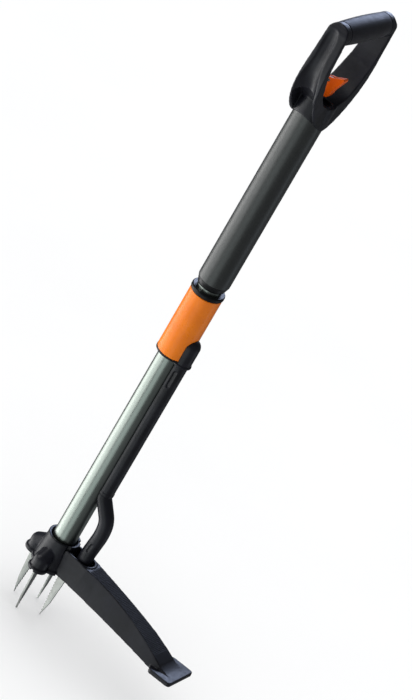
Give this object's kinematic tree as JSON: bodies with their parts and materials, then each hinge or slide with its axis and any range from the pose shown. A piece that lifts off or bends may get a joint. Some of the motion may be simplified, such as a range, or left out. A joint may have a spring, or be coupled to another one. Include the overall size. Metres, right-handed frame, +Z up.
{
  "type": "stand up weeder",
  "caption": "Upright weeder with a D-handle, telescoping shaft, orange ejector sleeve, foot pedal and serrated claws.",
  "frame": {"origin": "on the shaft axis 6 mm above the claw tips, where the tool meets the soil as the claws start to go in", "axes": "+Z up the shaft towards the handle, +X towards the toe of the foot pedal, +Y along the crossbar"},
  "size_m": [0.2946, 0.1262, 1.0041],
  "materials": {
    "anodised_tube": "satin anodised",
    "painted_tube": "satin black paint",
    "black_plastic": "fine texture",
    "black_trim": "smooth satin",
    "soft_grip": "soft matte",
    "orange_plastic": "semi gloss",
    "trigger_plastic": "semi gloss",
    "nylon": "smooth",
    "claw_steel": "ground stainless steel",
    "pin_steel": "bright plated steel"
  },
  "bodies": {
    "shaft": {"lower_tube": "anodised_tube", "tube_top_bush": "nylon", "head_housing": "black_plastic", "head_screw": "pin_steel", "claw_pins": "pin_steel", "pedal_pin": "pin_steel", "pedal_spring": "pin_steel"},
    "pedal": {"pedal_arm": "black_plastic", "pedal_bushes": "nylon", "rod_pin": "pin_steel"},
    "ejector": {"ejector_sleeve": "orange_plastic", "sleeve_bush": "nylon", "sleeve_top_ring": "black_trim", "sleeve_bottom_ring": "black_trim", "thumb_cover": "black_plastic", "push_bar": "black_plastic", "push_elbow": "black_plastic", "rod_eye": "black_plastic"},
    "claw_front": {"claw_front": "claw_steel"},
    "claw_right": {"claw_right": "claw_steel"},
    "claw_back": {"claw_back": "claw_steel"},
    "claw_left": {"claw_left": "claw_steel"},
    "spreader": {"claw_spreader": "nylon"},
    "upper": {"grip_tube": "painted_tube", "grip_end_bush": "black_trim", "handle_frame": "black_plastic", "crossbar_grip": "soft_grip", "trigger_pin": "pin_steel", "handle_screws": "pin_steel", "release_springs": "pin_steel"},
    "trigger": {"trigger": "trigger_plastic"},
    "strip": {"release_strip": "claw_steel"},
    "shoe": {"lock_shoe": "nylon"}
  },
  "joints": [
    {"name": "pedal_tilt", "type": "hinge", "parent": "shaft", "child": "pedal", "pos_m": [0.004, 0, 0.088], "axis": [0, 1, 0], "range_deg": [0, 22], "stiffness_Nm_per_rad": 2, "springref_deg": -40.11},
    {"name": "ejector_slide", "type": "slide", "parent": "shaft", "child": "ejector", "axis": [0, 0, -1], "range_m": [0, 0.0165]},
    {"name": "claw_front_spread", "type": "hinge", "parent": "shaft", "child": "claw_front", "pos_m": [0.027, 0, 0.082], "axis": [0, -1, 0], "range_deg": [0, 9]},
    {"name": "claw_right_spread", "type": "hinge", "parent": "shaft", "child": "claw_right", "pos_m": [0, 0.027, 0.082], "axis": [1, 0, 0], "range_deg": [0, 9]},
    {"name": "claw_back_spread", "type": "hinge", "parent": "shaft", "child": "claw_back", "pos_m": [-0.027, 0, 0.082], "axis": [0, 1, 0], "range_deg": [0, 9]},
    {"name": "claw_left_spread", "type": "hinge", "parent": "shaft", "child": "claw_left", "pos_m": [0, -0.027, 0.082], "axis": [-1, 0, 0], "range_deg": [0, 9]},
    {"name": "spreader_slide", "type": "slide", "parent": "shaft", "child": "spreader", "axis": [0, 0, -1], "range_m": [0, 0.0042]},
    {"name": "telescope", "type": "slide", "parent": "shaft", "child": "upper", "axis": [0, 0, 1], "range_m": [0, 0.18]},
    {"name": "trigger_squeeze", "type": "hinge", "parent": "upper", "child": "trigger", "pos_m": [-0.0007, 0, 0.901], "axis": [0, -1, 0], "range_deg": [0, 12], "stiffness_Nm_per_rad": 0.4, "springref_deg": -17.19},
    {"name": "strip_slide", "type": "slide", "parent": "upper", "child": "strip", "axis": [0, 0, -1], "range_m": [0, 0.0025], "deforming": ["release_springs"]},
    {"name": "shoe_slide", "type": "slide", "parent": "upper", "child": "shoe", "axis": [-1, 0, 0], "range_m": [0, 0.0006]}
  ],
  "couplings": [
    {"joint": "ejector_slide", "follows": "pedal_tilt", "m_per_rad": 0.0401},
    {"joint": "claw_front_spread", "follows": "pedal_tilt", "ratio": 0.386},
    {"joint": "claw_right_spread", "follows": "pedal_tilt", "ratio": 0.386},
    {"joint": "claw_back_spread", "follows": "pedal_tilt", "ratio": 0.386},
    {"joint": "claw_left_spread", "follows": "pedal_tilt", "ratio": 0.386},
    {"joint": "spreader_slide", "follows": "pedal_tilt", "m_per_rad": 0.0104},
    {"joint": "strip_slide", "follows": "trigger_squeeze", "m_per_rad": 0.0095},
    {"joint": "shoe_slide", "follows": "trigger_squeeze", "m_per_rad": 0.0023}
  ]
}
